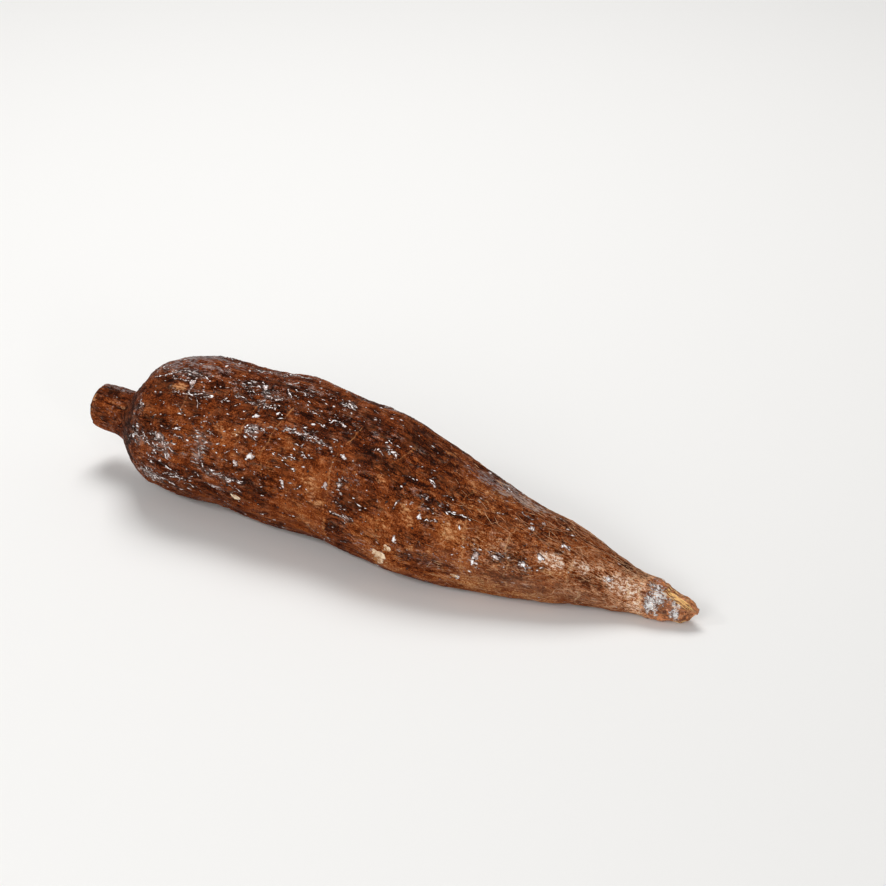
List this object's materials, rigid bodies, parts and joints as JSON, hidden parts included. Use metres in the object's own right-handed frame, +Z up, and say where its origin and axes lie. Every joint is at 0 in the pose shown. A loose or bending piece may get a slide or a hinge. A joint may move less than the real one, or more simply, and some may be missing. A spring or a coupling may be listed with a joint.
{
  "type": "cassava root",
  "caption": "Whole waxed cassava root: a long crooked tuber with a cut stub of neck, a steep shoulder and a tapering tail, lying on its flattened belly.",
  "frame": {"origin": "middle of the root's box, on the surface that its flattened belly rests on", "axes": "+X from the cut neck to the tail, +Y across the root, +Z up"},
  "size_m": [0.383, 0.0874, 0.0823],
  "materials": {
    "bark": "waxed root bark: dark reddish brown, finely wrinkled along the root, with glossy wax on the ridges"
  },
  "bodies": {
    "root": {"cassava_root": "bark"}
  },
  "joints": []
}
